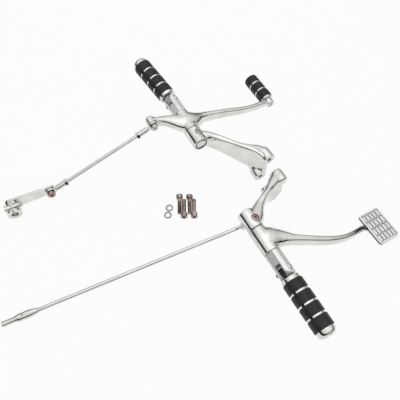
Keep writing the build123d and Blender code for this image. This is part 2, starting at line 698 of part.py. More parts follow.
def brake_pedal():
    """The cast pedal: a hub, the long arm to the pad, and a short lower arm that drives the rod."""
    hub_middle = -(LEVER_START + LEVER_END) / 2
    pad_floor = PAD_TOP - PAD_THICKNESS
    foot = pad_floor - PAD_FOOT / 2
    arm = bar([
        ((4, hub_middle - 1, -1), 26, 29, 8),
        ((28, hub_middle - 8, -6.5), 20, 27, 7),
        ((54, hub_middle - 20, -13), 14, 25.5, 5.5),
        ((90, hub_middle - 37, -22), 11.5, 24.5, 5),
        ((126, hub_middle - 49.5, -32), 10.5, 22, 4.8),
        ((158, PAD_Y + 6.5, -42), 10.5, 18, 4.8),
        ((183, PAD_Y + 9.5, -51.5), 11, 14, 4.8),
        ((PAD_X - PAD_SHORT / 2 + 9, PAD_Y + 4, foot + 0.6), 12, PAD_FOOT - 2, 2.8),
    ])
    lower_arm = bar([
        ((3, hub_middle + 4, -4), 22, 22, 6),
        ((10, hub_middle + 7, -18), 17, 20, 6),
        ((LOWER_ARM_FORWARD, hub_middle + 9, -LOWER_ARM_DROP), 14, 15, 5.5),
    ], upright=True)
    boss_face = BRAKE_ROD_SIDE - BALL_WIDTH / 2
    joint = (LOWER_ARM_FORWARD, -LOWER_ARM_DROP)
    with BuildPart() as casting:
        with BuildSketch(crosswise(-LEVER_START)):
            Circle(HUB_D / 2)
        extrude(amount=LEVER_HUB_LENGTH)
        chamfer(casting.edges().filter_by(GeomType.CIRCLE), 0.8)
        add(arm)
        add(lower_arm)
        with BuildSketch(Plane.XY.offset(pad_floor)):
            with Locations((PAD_X + 1, PAD_Y + 1)):
                SlotOverall(PAD_SHORT - 2, FOOT_WIDTH, rotation=-5)
        extrude(amount=-PAD_FOOT)
        with BuildSketch(crosswise(boss_face)):
            with Locations(joint):
                Circle(JOINT_HEAD_D / 2)
        extrude(amount=boss_face - hub_middle)
        with BuildSketch(Plane.XY.offset(pad_floor)):
            with Locations((PAD_X + FACE_GAP, PAD_Y)):
                Rectangle(PAD_SHORT + 4 * FACE_GAP, PAD_LONG)
        extrude(amount=2 * PAD_THICKNESS, mode=Mode.SUBTRACT)
        add(lever_bores(-1, LEVER_START, LEVER_END), mode=Mode.SUBTRACT)
        with BuildSketch(crosswise(boss_face)):
            with Locations(joint):
                Circle(SCREW_D / 2)
        extrude(amount=BRAKE_BOLT_DEPTH, mode=Mode.SUBTRACT)
        with BuildSketch(Plane.XY.offset(pad_floor)):
            with pad_screw_places():
                Circle(PAD_SCREW_D / 2)
        extrude(amount=-PAD_FOOT, mode=Mode.SUBTRACT)
        with BuildSketch(Plane.XY.offset(pad_floor - PAD_FOOT)):
            with pad_screw_places():
                Circle(PAD_HEAD_D / 2)
        extrude(amount=PAD_HEAD, mode=Mode.SUBTRACT)
    return casting.part


def brake_pad():
    """The pad: a rounded plate whose raised grid leaves four rows of five sunk slots."""
    with BuildPart() as pad:
        with BuildSketch(Plane.XY.offset(PAD_TOP - PAD_THICKNESS)):
            with Locations((PAD_X, PAD_Y)):
                RectangleRounded(PAD_SHORT, PAD_LONG, PAD_RADIUS)
        extrude(amount=PAD_THICKNESS)
        chamfer(pad.faces().sort_by(Axis.Z)[-1].edges(), 1.0)
        with BuildSketch(Plane.XY.offset(PAD_TOP)):
            with Locations((PAD_X, PAD_Y)):
                with GridLocations(PAD_SLOT_PITCH, PAD_ROW_PITCH, PAD_SLOTS, PAD_ROWS):
                    SlotOverall(PAD_ROW_PITCH - PAD_BAR, PAD_SLOT, rotation=90)
        extrude(amount=-PAD_SLOT_DEPTH, mode=Mode.SUBTRACT)
        with BuildSketch(Plane.XY.offset(PAD_TOP - PAD_THICKNESS)):
            with pad_screw_places():
                Circle(PAD_SCREW_D / 2)
        extrude(amount=PAD_THICKNESS - PAD_SLOT_DEPTH - 1, mode=Mode.SUBTRACT)
    return pad.part


def pad_screws():
    """The two flush screws under the pad, as separate solids."""
    underside = PAD_TOP - PAD_THICKNESS - PAD_FOOT
    with BuildPart() as screws:
        with BuildSketch(Plane.XY.offset(underside)):
            with pad_screw_places():
                Circle(PAD_HEAD_D / 2)
        extrude(amount=PAD_HEAD)
        with BuildSketch(Plane.XY.offset(underside + PAD_HEAD)):
            with pad_screw_places():
                Circle(PAD_SCREW_D / 2)
        extrude(amount=PAD_FOOT - PAD_HEAD + PAD_THICKNESS - PAD_SLOT_DEPTH - 1)
    return screws.part


def brake_sleeve(length):
    """The turned rear sleeve along +X, over the rod's end, with a thread in its far end."""
    with BuildPart() as sleeve:
        with BuildSketch(Plane.XY):
            with BuildLine():
                Polyline(
                    (0, 0), (0, SLEEVE_D / 2 - 2.2), (SLEEVE_NECK, SLEEVE_D / 2 - 2.2),
                    (SLEEVE_NECK + 9, SLEEVE_D / 2), (length - 14, SLEEVE_D / 2), (length, BRAKE_ROD_D / 2 + 1.2),
                    (length, 0), (0, 0),
                )
            make_face()
        revolve(axis=Axis.X)
        with BuildSketch(Plane.YZ):
            Circle(SLEEVE_THREAD_D / 2)
        extrude(amount=SLEEVE_THREAD, mode=Mode.SUBTRACT)
        with BuildSketch(Plane.YZ):
            Circle(BRAKE_ROD_D / 2)
        extrude(amount=length, mode=Mode.SUBTRACT)
        with BuildSketch(Plane.XY.offset(-SLEEVE_D)):
            with Locations((length - SLEEVE_PIN_INSET, 0)):
                Circle(SLEEVE_PIN_D / 2)
        extrude(amount=2 * SLEEVE_D, mode=Mode.SUBTRACT)
    return sleeve.part


def sleeve_pin():
    """The roll pin through the sleeve and the rod."""
    with BuildPart() as pin:
        with BuildSketch(Plane.XY.offset(-SLEEVE_D / 2)):
            Circle(SLEEVE_PIN_D / 2)
        extrude(amount=SLEEVE_D + 1.2)
    return pin.part


def hex_nut():
    """A full nut that starts at the origin and goes towards +Z."""
    with BuildPart() as nut:
        with BuildSketch(Plane.XY):
            RegularPolygon(NUT_ACROSS / 2, 6, major_radius=False)
            Circle(SCREW_D / 2, mode=Mode.SUBTRACT)
        extrude(amount=NUT_HEIGHT)
    return nut.part


def loose_screws():
    """The four mounting screws, each lying on its head's lower rim and its tip."""
    tip = SCREW_LENGTH - 0.8
    droop = atan((SCREW_HEAD_D - SCREW_D) / 2 / tip)
    row = radians(ROW_HEADING)
    screw = cap_screw(SCREW_LENGTH)
    seats = []
    for along, across, heading in LOOSE_SCREWS:
        spot = Vector(
            along * cos(row) + across * sin(row), along * sin(row) - across * cos(row),
            SCREW_HEAD_D / 2 * cos(droop),
        )
        to_head = (heading * cos(row) * cos(droop), heading * sin(row) * cos(droop), sin(droop))
        seat = Plane(origin=spot, x_dir=(-heading * sin(row), heading * cos(row), 0), z_dir=to_head)
        seats.append(Location(seat))
    with BuildPart() as screws:
        for seat in seats:
            add(screw.moved(seat))
    return screws.part


def loose_washers():
    """The two plain washers that lie by the screws, as separate solids."""
    with BuildPart() as washers:
        with BuildSketch(Plane.XY):
            with Locations(*LOOSE_WASHERS):
                Circle(WASHER_D / 2)
                Circle(SCREW_D / 2 + 0.2, mode=Mode.SUBTRACT)
        extrude(amount=WASHER_THICKNESS)
    return washers.part


shift_place = Location((SHIFT_X, SHIFT_Y, PIVOT_HEIGHT))
brake_place = Location((BRAKE_X, BRAKE_Y, PIVOT_HEIGHT))

keep_side_frame(1, "shift", ("shift_bracket", "shift_peg_support"), shift_place, -SHIFT_BOSS_REACH, [
    ((8, 18, -1), 15, 27, 7),
    ((46, -21, -4.5), 11, 29, 4.5),
    ((66, -44, -11), WEB_THICKNESS, 37, 4.5),
    ((80, -62, -20.5), WEB_THICKNESS, 54, 4.5),
    ((88, -84, -29), WEB_THICKNESS, 69, 4.5),
])
keep_side_frame(-1, "brake", ("brake_bracket", "brake_peg_support"), brake_place, BRAKE_BOSS_REACH, [
    ((7, -19, -1), 15, 27, 7),
    ((30, 2, -4), 12, 27, 4.5),
    ((53, 15, -10), WEB_THICKNESS, 36, 4.5),
    ((75, 28, -19.5), WEB_THICKNESS, 52, 4.5),
    ((90, 43, -29), WEB_THICKNESS, 68, 4.5),
])

keep(shift_lever(), "shift_lever", shift_place)
keep_bushes(1, ("shift_lever_bush_inner", "shift_lever_bush_outer"), shift_place)

toe_face = Plane(origin=(TOE_REACH, TOE_SIDE + TOE_BOSS / 2, -TOE_DROP), x_dir=(1, 0, 0), z_dir=(0, 1, 0))
toe_place = shift_place * Location(toe_face)
keep(toe_peg_core(), "toe_peg_core", toe_place)
for number in range(TOE_RINGS):
    keep(toe_peg_ring(number), f"toe_peg_ring_{number + 1}", toe_place)
toe_seat = Plane(origin=(TOE_REACH, TOE_SIDE - TOE_BOSS / 2 + TOE_HEAD, -TOE_DROP), x_dir=(1, 0, 0), z_dir=(0, -1, 0))
keep(cap_screw(TOE_BOSS - TOE_HEAD + TOE_BOLT_DEPTH, head=TOE_HEAD, shank_d=TOE_BOLT_D), "toe_peg_bolt",
     shift_place * Location(toe_seat))

front_joint = Vector(-LINK_BACK, JOINT_SIDE, LINK_UP)
rear_joint = Vector(-REAR_JOINT_BACK, JOINT_SIDE, -REAR_JOINT_DROP)
rod_slope = degrees(atan2(front_joint.Z - rear_joint.Z, front_joint.X - rear_joint.X))
joint_distance = (front_joint - rear_joint).length
rear_place = shift_place * Location(rear_joint) * Location((0, 0, 0), (0, -rod_slope, 0))
front_place = rear_place * Location((joint_distance, 0, 0), (0, 180, 0))
keep(rod_end(EYE_TO_SHANK_END, ROD_D, ROD_THREAD), "rear_rod_end", rear_place)
keep(rod_end(EYE_TO_SHANK_END, ROD_D, ROD_THREAD), "front_rod_end", front_place)
keep(jam_nut(ROD_D), "rear_jam_nut", rear_place * Location((EYE_TO_SHANK_END, 0, 0)))
keep(jam_nut(ROD_D), "front_jam_nut", front_place * Location((EYE_TO_SHANK_END, 0, 0)))
rod_inset = EYE_TO_SHANK_END - ROD_THREAD + 1
keep(round_rod(rod_inset, joint_distance - rod_inset, ROD_D), "shift_rod", rear_place)

front_bolt_face = Plane(origin=front_joint - Vector(0, BALL_WIDTH / 2, 0), x_dir=(1, 0, 0), z_dir=(0, -1, 0))
front_bolt_length = BALL_WIDTH + LINK_BOSS + NUT_HEIGHT + 1
keep(joint_ball(), "front_joint_ball", shift_place * Location(front_joint))
keep(cap_screw(front_bolt_length, head_d=JOINT_HEAD_D, head=JOINT_HEAD), "front_joint_bolt",
     shift_place * Location(front_bolt_face))
front_nut_face = Plane(
    origin=front_joint + Vector(0, BALL_WIDTH / 2 + LINK_BOSS, 0), x_dir=(1, 0, 0), z_dir=(0, 1, 0)
)
keep(hex_nut(), "front_joint_nut", shift_place * Location(front_nut_face))

arm_place = shift_place * Location(rear_joint) * Location((0, 0, 0), (0, 0, -ARM_TURN))
ball_face = Location(Plane(origin=(0, -BALL_WIDTH / 2, 0), x_dir=(1, 0, 0), z_dir=(0, -1, 0)))
keep(shift_arm(), "shift_arm", arm_place)
keep(joint_ball(), "rear_joint_ball", arm_place)
keep(cap_screw(BALL_WIDTH + ARM_THICKNESS, head_d=JOINT_HEAD_D, head=JOINT_HEAD), "rear_joint_bolt",
     arm_place * ball_face)
pinch_face = Plane(
    origin=(PINCH_LENGTH / 2 - ARM_LENGTH, BALL_WIDTH / 2 + ARM_THICKNESS - CLAMP_LENGTH + PINCH_INSET,
            ARM_RISE + PINCH_HEIGHT),
    x_dir=(0, 1, 0), z_dir=(1, 0, 0),
)
keep(cap_screw(PINCH_LENGTH, head_d=PINCH_HEAD_D, head=PINCH_HEAD, shank_d=PINCH_BOLT_D), "pinch_bolt",
     arm_place * Location(pinch_face))

keep_footpeg(1, "left", shift_place, LEFT_PEG_FOLD)
keep_footpeg(-1, "right", brake_place)

keep(brake_pedal(), "brake_pedal", brake_place)
keep_bushes(-1, ("brake_pedal_bush_inner", "brake_pedal_bush_outer"), brake_place)
keep(brake_pad(), "brake_pad", brake_place)
keep(pad_screws(), "pad_screws", brake_place)

brake_joint = Vector(LOWER_ARM_FORWARD, BRAKE_ROD_SIDE, -LOWER_ARM_DROP)
rod_line = Vector(*BRAKE_ROD_END) - brake_joint
rod_heading = rod_line.normalized()
up_from_rod = Vector(0, 0, 1) - rod_heading * rod_heading.Z
brake_rod_place = brake_place * Location(Plane(origin=brake_joint, x_dir=rod_heading, z_dir=up_from_rod))
sleeve_place = brake_rod_place * Location((rod_line.length, 0, 0), (0, 0, 180))
brake_bolt_face = Plane(origin=brake_joint + Vector(0, BALL_WIDTH / 2, 0), x_dir=(1, 0, 0), z_dir=(0, 1, 0))
keep(joint_ball(), "brake_joint_ball", brake_place * Location(brake_joint))
keep(cap_screw(BALL_WIDTH + BRAKE_BOLT_DEPTH - 2, head_d=JOINT_HEAD_D, head=JOINT_HEAD), "brake_joint_bolt",
     brake_place * Location(brake_bolt_face))
keep(rod_end(BRAKE_SHANK_END, BRAKE_ROD_D, BRAKE_ROD_THREAD), "brake_rod_end", brake_rod_place)
keep(jam_nut(BRAKE_ROD_D), "brake_jam_nut", brake_rod_place * Location((BRAKE_SHANK_END, 0, 0)))
brake_rod_inset = BRAKE_SHANK_END - BRAKE_ROD_THREAD + 1
pin_distance = rod_line.length - SLEEVE_LENGTH + SLEEVE_PIN_INSET
keep(round_rod(brake_rod_inset, rod_line.length - SLEEVE_THREAD, BRAKE_ROD_D, pin_distance), "brake_rod",
     brake_rod_place)
keep(brake_sleeve(SLEEVE_LENGTH), "brake_rod_sleeve", sleeve_place)
keep(sleeve_pin(), "sleeve_pin", sleeve_place * Location((SLEEVE_LENGTH - SLEEVE_PIN_INSET, 0, 0)))

keep(loose_screws(), "mounting_screws")
keep(loose_washers(), "mounting_washers")

boxes = [piece.bounding_box() for piece in pieces.values()]
corners = [[f(box) for box in boxes] for f in (
    lambda box: box.min.X, lambda box: box.max.X, lambda box: box.min.Y, lambda box: box.max.Y,
    lambda box: box.min.Z,
)]
to_middle = Location((
    -(min(corners[0]) + max(corners[1])) / 2, -(min(corners[2]) + max(corners[3])) / 2, -min(corners[4])
))
os.makedirs("parts", exist_ok=True)
for name, piece in pieces.items():
    placed = piece.moved(to_middle)
    placed.label = name
    export_step(placed, f"parts/{name}.step")
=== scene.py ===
import json
from math import atan, copysign, cos, pi, radians, sin

import bmesh
import bpy
from mathutils import Matrix, Vector


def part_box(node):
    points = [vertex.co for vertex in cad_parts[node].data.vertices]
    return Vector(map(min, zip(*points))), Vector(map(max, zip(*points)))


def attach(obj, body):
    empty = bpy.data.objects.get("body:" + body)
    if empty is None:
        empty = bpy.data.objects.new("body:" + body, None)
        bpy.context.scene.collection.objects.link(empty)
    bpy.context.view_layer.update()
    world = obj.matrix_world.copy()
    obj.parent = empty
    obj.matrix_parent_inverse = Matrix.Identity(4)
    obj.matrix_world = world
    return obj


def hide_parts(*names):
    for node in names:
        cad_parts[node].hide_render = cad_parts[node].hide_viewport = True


# Motorcycle forward controls in polished chrome and black rubber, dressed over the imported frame.
# Lengths are in metres, in the frame's own axes: +X forward, +Y left, +Z up. Places from a hub's inner end, the
# sections of the castings' fairings and the places in the loose screws' row are in millimetres.

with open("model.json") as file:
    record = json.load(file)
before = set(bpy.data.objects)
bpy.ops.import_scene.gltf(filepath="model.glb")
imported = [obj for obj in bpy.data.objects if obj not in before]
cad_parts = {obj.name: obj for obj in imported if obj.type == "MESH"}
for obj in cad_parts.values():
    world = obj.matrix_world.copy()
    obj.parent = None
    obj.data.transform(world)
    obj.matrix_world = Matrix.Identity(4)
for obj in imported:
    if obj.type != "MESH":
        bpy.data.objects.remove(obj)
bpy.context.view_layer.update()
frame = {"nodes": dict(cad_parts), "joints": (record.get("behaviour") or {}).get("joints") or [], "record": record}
record = frame["record"]
scene = bpy.context.scene
MM = 0.001

# Every piece: joined points, faces taken as flat, corners to round, corners that shade sharp, and a lathe's steps
JOIN = 0.01 * MM
FLAT_ANGLE, CORNER_ANGLE, SHADE_ANGLE = radians(0.6), radians(32), radians(42)
BROKEN_EDGE = 0.4 * MM
FLAT_FACE_WEIGHT = 80
LATHE_STEPS, SCREW_STEPS = 96, 48

# Castings: their skin, what is left sharp round the bores, and the passes of smoothing
CASTING_VOXEL = 0.8 * MM
SECTION_SIDES = 24
BORE_REACH = 13.2 * MM
FILLET_PASSES = ((1.0, 14), (0.8, 20), (0.62, 26))  # the share of a root's reach, and the passes there
WORN_PASSES, SKIN_PASSES = 70, 6

# Hubs: where their shafts start, their clamping screws in round wells, and the seals in their ends
SHAFT_START = 1.5 * MM
SCREW_LEAN, SCREW_STATION, SCREW_SEAT = radians(68), 21.0, 10.5
SCREW_WAY = Vector((cos(SCREW_LEAN), 0, sin(SCREW_LEAN)))
WELL_DEPTH, WELL_RADIUS, WELL_STEPS, WELL_EDGE_ANGLE = 12.0 * MM, 7.0 * MM, 64, radians(60)
SEAL_RADIUS, SEAL_THICKNESS, SEAL_STEPS = 11.1 * MM, 1.5 * MM, 12

# Footpegs and toe peg
FOLD_PIN_TILT = radians(45)
LEFT_PEG_FOLD = radians(12)
PEG_RUBBER_START, PEG_PITCH = 22.3 * MM, 22.0 * MM
PEG_RING_LENGTH, PEG_RING_RADIUS, PEG_CORE_RADIUS = 17.4 * MM, 18.0 * MM, 11.5 * MM
PEG_RINGS = 4
TOE_PEG_PLACE = (203, 68.5, -51)
TOE_RUBBER_START, TOE_PITCH = 6.0 * MM, 22.4 * MM
TOE_RING_LENGTH, TOE_RING_RADIUS, TOE_CORE_RADIUS = 18.4 * MM, 15.0 * MM, 8.5 * MM
TOE_RINGS = 3

# Rubber rings: rounded rims, lips over their neighbours, grooves between the fine ribs, and lugs
RIM_RADIUS, RIM_TURN, RIM_STEPS = 2.0 * MM, radians(72), 4
PEG_LIP, TOE_LIP, LIP_REACH, CAP_LIP_REACH = 16.9 * MM, 14.1 * MM, 0.8 * MM, 2.5 * MM
GROOVES, GROOVE_WIDTH, GROOVE_FLOOR, GROOVE_DEPTH = 5, 1.3 * MM, 0.52 * MM, 0.35 * MM
LUG_WIDTH, LUG_LENGTH, LUG_TOP = 5.0 * MM, 4.6 * MM, 16.0 * MM
LUG_ROOT, LUG_CLEARANCE, LUG_EDGE = 0.4 * MM, 0.2 * MM, 0.5 * MM

# End caps: a dome, and a recess with a flat rim and a small chamfer
CAP_START, CAP_SIDE, CAP_LENGTH, CAP_BORE = 105.7 * MM, 4.5 * MM, 13.0 * MM, 4.0 * MM
CAP_RADIUS, CAP_RIM, CAP_RECESS = 16.5 * MM, 11.2 * MM, 6.0 * MM
CAP_FLAT, CAP_WALL, CAP_CHAMFER, DOME_STEPS = 0.7 * MM, 1.2 * MM, 0.6 * MM, 8

# Loose screws: heads' places in their row and which way they point, and the row's heading over the floor
LOOSE_SCREWS = [(0.5, -39.5, 1), (-32.9, -31.0, -1), (-0.6, -20.2, 1), (-33.1, -11.8, -1)]
ROW_ORIGIN, ROW_HEADING = (62.29 * MM, 11.054 * MM), radians(62.5)
SCREW_LENGTH, SCREW_RADIUS, PLAIN_SHANK = 32.0 * MM, 4.0 * MM, 7.0 * MM
TIP_INSET, TIP_LENGTH, TIP_REST = 0.9 * MM, 0.7 * MM, 0.8 * MM
HEAD_RADIUS, HEAD_HEIGHT = 6.5 * MM, 8.0 * MM
HEAD_FOOT_CHAMFER, HEAD_TOP_CHAMFER = 0.3 * MM, 0.8 * MM
SOCKET_RADIUS, SOCKET_DEPTH, SOCKET_CHAMFER = 3.45 * MM, 4.8 * MM, 0.4 * MM
THREAD_PITCH, THREAD_DEPTH = 1.25 * MM, 0.55 * MM

# Pad: its cells, the ribs between them, the slot in each cell, and the island that stands up inside it
PAD_COLUMNS, PAD_ROWS, PAD_COLUMN, PAD_ROW = 5, 4, 7.5 * MM, 14.7 * MM
PAD_CORNER, PAD_RIB, PAD_RIB_SLOPE = 5.0 * MM, 1.5 * MM, 0.35 * MM
PAD_SLOT_FLOOR, PAD_SLOT_DEPTH = 0.55 * MM, 2.3 * MM
PAD_ISLAND_SLOPE, PAD_ISLAND_DROP = 0.4 * MM, 0.5 * MM
PAD_EDGE = 0.22 * MM
# Painted shade in the pad's slots: full at the first depth, gone at the second
PAD_FULL_SHADE_DEPTH, PAD_SHADE_END_DEPTH = 1.6 * MM, 0.7 * MM  # depths below the pad's top

# Finishes: cells of noise in a metre, and how much of the noise's range a tone or a value takes
TONE_CELLS, GRAIN_CELLS, WAVE_CELLS = 38, 900, 70
TONE_STATIONS, VALUE_STATIONS = (0.35, 0.65), (0.3, 0.7)
# The near-black colour painted deep in the pad's slots as painted shade
SLOT_SHADE_TONE = (0.12, 0.12, 0.12, 1)
RUBBER_TONES = (0.006, 0.006, 0.006), (0.02, 0.02, 0.021)
RUBBER_ROUGHNESS, RUBBER_SPECULAR = (0.36, 0.54), 0.38
DUST_CELLS, POLISH_CELLS, PEBBLE_CELLS = 700, 160, 1500
PEBBLE_DEPTH, PEBBLE_STRENGTH = 0.12 * MM, 0.8

# Studio: the paper floor, the dark cloth round the table, the tent, its lamp, and the softbox above the table
FLOOR_REACH, PAPER_TONE, PAPER_GLOW = 5.0, (0.8, 0.8, 0.795, 1), 0.93
SKIRT_RADIUS, SKIRT_HEIGHT, SKIRT_TONE = 2.4, 2.3, (0.01, 0.01, 0.01, 1)
SKIRT_FADE = ((0.3, 0.0), (0.38, 0.42), (0.56, 0.68), (0.96, 1.0))  # the share of its height, and how clear it is
SKIRT_SLOPE_X, SKIRT_SLOPE_Y = 0.13, 0.08
TENT_TONE, TENT_GLOW, TENT_LIGHT = (1, 1, 0.995, 1), 1.0, 0.6
LAMP_PLACE, LAMP_WIDTH, LAMP_DEPTH, LAMP_POWER = (0.1, 0.35, 1.9), 2.6, 2.4, 16.0
SOFTBOX_PLACE, SOFTBOX_RADIUS, SOFTBOX_CORE = (0.25, 0.45, 1.9), 1.5, 0.35
SOFTBOX_LIGHT, SOFTBOX_RIM_LIGHT = 1.42, 1.0

# The camera, found from the photograph's vanishing points and known sizes
CAMERA_PLACE = (-0.1496, -0.3712, 0.757)
CAMERA_TURN = (radians(30), 0.0, radians(-29))
CAMERA_LENS, CAMERA_SENSOR, CAMERA_NEAR = 40.5, 36.0, 0.01

body_of_node = {node: body for body, nodes in record["behaviour"]["bodies"].items() for node in nodes}
slot_of_node = {part["node"]: part["material_slot"] for part in record["subparts"]}
joint_place = {joint["name"]: Vector(joint["pos_m"]) for joint in frame["joints"]}


def place_along(origin, across, outward):
    """A place whose +X is across and whose +Z is outward."""
    x, z = Vector(across).normalized(), Vector(outward).normalized()
    y = z.cross(x)
    turned = Matrix((x, y, z)).transposed().to_4x4()
    return Matrix.Translation(Vector(origin)) @ turned


def edges_at(verts):
    """The edges that meet some points, in a fixed order."""
    return list(dict.fromkeys(e for v in verts for e in v.link_edges))


def drawn_out(bm, edges):
    """Extrude some edges, and give back the new points."""
    new = bmesh.ops.extrude_edge_only(bm, edges=edges)["geom"]
    return [v for v in new if isinstance(v, bmesh.types.BMVert)]


def round_edges(bm, edges, size, steps=2):
    """Round some edges off."""
    bmesh.ops.bevel(
        bm, geom=edges, offset=size, offset_type="OFFSET", segments=steps, profile=0.5,
        affect="EDGES", clamp_overlap=True, material=-1,
    )


def sharp_corners(bm):
    """The edges where a piece's faces turn sharply."""
    return [e for e in bm.edges if e.is_manifold and e.calc_face_angle() > CORNER_ANGLE]


def piece_from(bm, name):
    """A new smooth-shaded object from a bmesh, with its place in its mesh."""
    mesh = bpy.data.meshes.new(name)
    for face in bm.faces:
        face.smooth = True
    bm.to_mesh(mesh)
    bm.free()
    if "custom_normal" in mesh.attributes:
        mesh.attributes.remove(mesh.attributes["custom_normal"])
    piece = bpy.data.objects.new(name, mesh)
    scene.collection.objects.link(piece)
    return piece


def finished_mesh(piece):
    """A new mesh of a piece with its modifiers applied."""
    graph = bpy.context.evaluated_depsgraph_get()
    return bpy.data.meshes.new_from_object(piece.evaluated_get(graph))


def crisp(piece):
    """Keep corners sharp, and let broad faces shade flat up to their rounded edges."""
    piece.data.set_sharp_from_angle(angle=SHADE_ANGLE)
    evened = piece.modifiers.new("even shading", "WEIGHTED_NORMAL")
    evened.keep_sharp = True
    evened.weight = FLAT_FACE_WEIGHT


def dress(piece, node, finish):
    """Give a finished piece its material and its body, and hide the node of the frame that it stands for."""
    piece.data.materials.clear()
    piece.data.materials.append(finish)
    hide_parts(node)
    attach(piece, body_of_node[node])


def joined_copy(node):
    """A bmesh copy of a node of the frame, with its loose triangles joined."""
    bm = bmesh.new()
    bm.from_mesh(frame["nodes"][node].data)
    bmesh.ops.remove_doubles(bm, verts=bm.verts, dist=JOIN)
    return bm


def softened(node, finish):
    """A machined piece: the frame's shape with every corner broken by a small rounded edge."""
    bm = joined_copy(node)
    bmesh.ops.dissolve_limit(bm, angle_limit=FLAT_ANGLE, verts=bm.verts, edges=bm.edges)
    round_edges(bm, sharp_corners(bm), BROKEN_EDGE)
    piece = piece_from(bm, node + "_finished")
    crisp(piece)
    dress(piece, node, finish)


def one_skin(bm):
    """Overlapping closed shells made one even skin, as a new bmesh."""
    rough = piece_from(bm, "rough_casting")
    skin = rough.modifiers.new("one skin", "REMESH")
    skin.mode = "VOXEL"
    skin.voxel_size = CASTING_VOXEL
    mesh = finished_mesh(rough)
    even = bmesh.new()
    even.from_mesh(mesh)
    bpy.data.objects.remove(rough)
    bpy.data.meshes.remove(mesh)
    return even


def relax(bm, times, verts):
    """Smooth some of a skin's points by many small moves."""
    for _ in range(times):
        bmesh.ops.smooth_vert(
            bm, verts=verts, factor=0.5, use_axis_x=True, use_axis_y=True, use_axis_z=True,
        )


def fairing(bm, stations, squareness):
    """A closed shell of rounded sections, each a point, a width and a height across its way over the floor."""
    last = len(stations) - 1
    rings = []
    for number, (point, width, height) in enumerate(stations):
        way = stations[min(number + 1, last)][0] - stations[max(number - 1, 0)][0]
        way.z = 0
        place = place_along(point, way.cross(Vector((0, 0, 1))), way)
        ring = bmesh.ops.create_circle(bm, cap_ends=number in (0, last), segments=SECTION_SIDES, radius=1)["verts"]
        for v in ring:
            v.co = (copysign(abs(v.co.x) ** squareness, v.co.x), copysign(abs(v.co.y) ** squareness, v.co.y), 0)
        size = Matrix.Diagonal((width * MM / 2, height * MM / 2, 1, 1))
        bmesh.ops.transform(bm, matrix=place @ size, verts=ring)
        rings.append(ring)
    for pair in zip(rings, rings[1:]):
        loops = [e for ring in pair for e in edges_at(ring) if all(v in ring for v in e.verts)]
        bmesh.ops.bridge_loops(bm, edges=loops)


def cut_well(piece, seat):
    """Cut the round well of a sunk screw into a casting, from the screw's seat outwards."""
    bm = bmesh.new()
    place = place_along(seat + SCREW_WAY * WELL_DEPTH / 2, SCREW_WAY.orthogonal(), SCREW_WAY)
    bmesh.ops.create_cone(
        bm, cap_ends=True, segments=WELL_STEPS, radius1=WELL_RADIUS, radius2=WELL_RADIUS, depth=WELL_DEPTH,
        matrix=place,
    )
    cutter = piece_from(bm, "well_cutter")
    cut = piece.modifiers.new("screw well", "BOOLEAN")
    cut.operation = "DIFFERENCE"
    cut.object = cutter
    mesh = finished_mesh(piece)
    piece.modifiers.clear()
    piece.data = mesh
    bpy.data.objects.remove(cutter)
    piece.data.set_sharp_from_angle(angle=WELL_EDGE_ANGLE)


def casting(node, finish, pivot, shells, roots, worn, well=None):
    """A casting: one skin over the frame's shape and its fairings, with fillets at roots, and worn spots worn down."""
    bm = joined_copy(node)
    for squareness, *stations in shells:
        fairing(bm, stations, squareness)
    bm = one_skin(bm)
    outer = [v for v in bm.verts if (v.co - pivot).xz.length > BORE_REACH]
    for share, times in FILLET_PASSES:
        relax(bm, times, [v for v in outer if any((v.co - spot).length < reach * share for spot, reach in roots)])
    for spot, reach in worn:
        relax(bm, WORN_PASSES, [v for v in outer if (v.co - spot).length < reach])
    relax(bm, SKIN_PASSES, outer)
    piece = piece_from(bm, node + "_finished")
    if well:
        cut_well(piece, well)
    dress(piece, node, finish)


def arc_points(middle, radius, start, end, steps):
    """Points of an arc in a lathe's profile, each as a radius and a station."""
    turn = [start + (end - start) * step / steps for step in range(steps + 1)]
    return [(middle[0] + radius * cos(a), middle[1] + radius * sin(a)) for a in turn]


def lathe(profile, place, steps=LATHE_STEPS, closed=True):
    """A solid of revolution about a place's +Z from a profile of radius and station."""
    bm = bmesh.new()
    ring = [bm.verts.new((radius, 0, station)) for radius, station in profile]
    edges = [bm.edges.new((a, b)) for a, b in zip(ring, ring[1:] + ring[:1] * closed)]
    bmesh.ops.spin(
        bm, geom=ring + edges, cent=(0, 0, 0), axis=(0, 0, 1), angle=2 * pi, steps=steps,
        use_merge=True, use_duplicate=False,
    )
    bmesh.ops.remove_doubles(bm, verts=bm.verts, dist=JOIN)
    bmesh.ops.recalc_face_normals(bm, faces=bm.faces)
    bmesh.ops.transform(bm, matrix=place, verts=bm.verts)
    return bm


